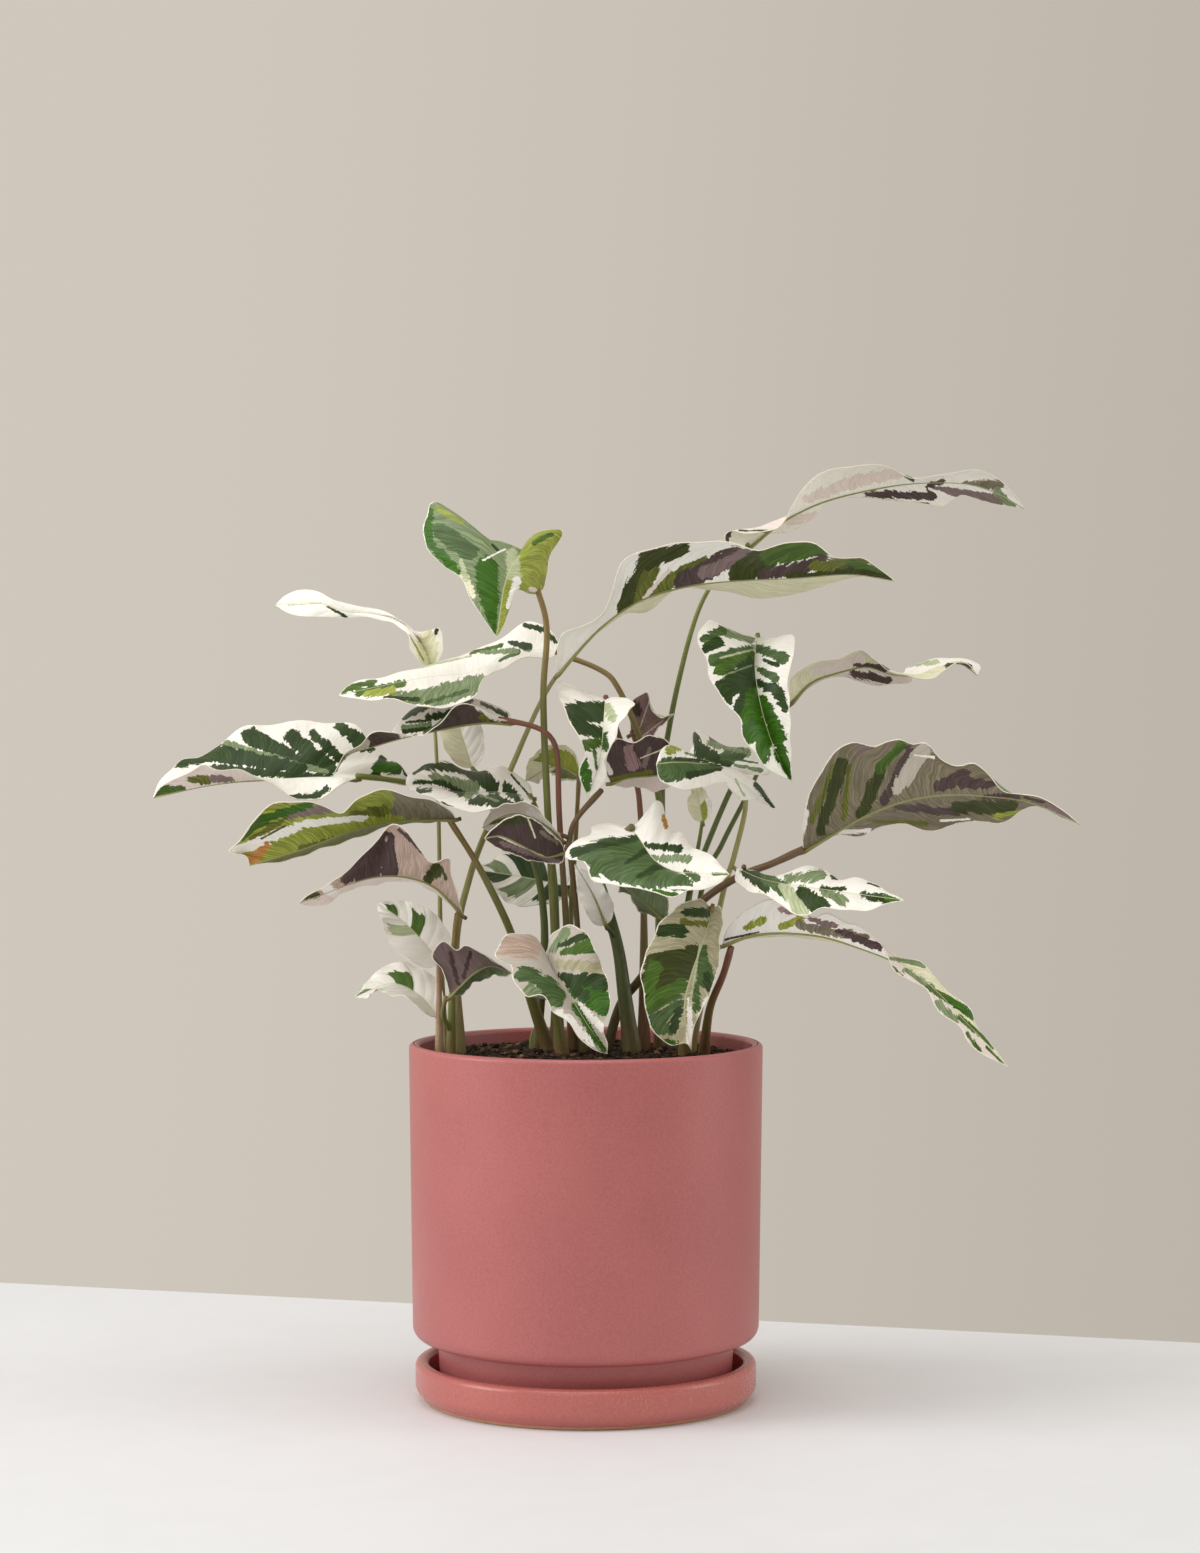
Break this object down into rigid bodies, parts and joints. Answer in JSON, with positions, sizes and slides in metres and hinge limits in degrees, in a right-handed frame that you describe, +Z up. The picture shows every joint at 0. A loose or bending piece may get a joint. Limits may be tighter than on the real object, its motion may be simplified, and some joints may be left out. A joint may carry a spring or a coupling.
{
  "type": "potted calathea plant",
  "caption": "Variegated foliage plant in a round glazed cylinder pot that stands in a matching saucer and catches drained water.",
  "frame": {"origin": "centre of the saucer's underside, on the surface it stands on", "axes": "+Z up along the pot's axis, -Y towards the plant's front, +X to the right seen from the front"},
  "size_m": [0.5263, 0.2, 0.53],
  "materials": {
    "pot_glaze": "matte rose-terracotta glaze",
    "saucer_glaze": "satin rose-terracotta glaze",
    "potting_mix": "loose dark bark and peat crumbs",
    "stem_green": "smooth olive-green stalk",
    "stem_russet": "smooth red-brown stalk",
    "leaf_green": "satin leaf, dark green fingers on cream",
    "leaf_cream": "satin leaf, mostly cream",
    "leaf_purple": "matte leaf, purple-grey underside",
    "leaf_olive": "matte leaf, yellow-green underside"
  },
  "bodies": {
    "root": {"saucer": "saucer_glaze", "pot": "pot_glaze", "stem_a": "stem_green", "stem_b": "stem_green", "stem_c": "stem_green", "stem_d": "stem_russet", "stem_e": "stem_green", "stem_f": "stem_green", "stem_g": "stem_green", "stem_h": "stem_russet", "stem_k": "stem_russet", "stem_n": "stem_green", "stem_o": "stem_green", "stem_p": "stem_green", "stem_q": "stem_green", "stem_r": "stem_green", "stem_s": "stem_russet", "stem_u": "stem_russet", "stem_v": "stem_green", "stem_w": "stem_russet", "stem_x": "stem_green", "stem_z": "stem_green", "stem_ac": "stem_green", "stem_ad": "stem_green", "soil": "potting_mix", "shoot": "stem_green", "leaf_a": "leaf_green", "leaf_b": "leaf_cream", "leaf_c": "leaf_cream", "leaf_d": "leaf_green", "leaf_e": "leaf_green", "leaf_f": "leaf_olive", "leaf_g": "leaf_green", "leaf_h": "leaf_cream", "leaf_i": "leaf_purple", "leaf_j": "leaf_purple", "leaf_k": "leaf_green", "leaf_m": "leaf_purple", "leaf_n": "leaf_purple", "leaf_o": "leaf_cream", "leaf_p": "leaf_green", "leaf_q": "leaf_cream", "leaf_r": "leaf_green", "leaf_s": "leaf_green", "leaf_t": "leaf_green", "leaf_u": "leaf_purple", "leaf_v": "leaf_cream", "leaf_w": "leaf_green", "leaf_x": "leaf_green", "leaf_y": "leaf_purple", "leaf_z": "leaf_purple", "leaf_aa": "leaf_cream", "leaf_ac": "leaf_cream", "leaf_ad": "leaf_green", "leaf_ae": "leaf_cream", "leaf_af": "leaf_cream", "leaf_ah": "leaf_cream", "leaf_ai": "leaf_olive", "leaf_ak": "leaf_cream"}
  },
  "joints": []
}
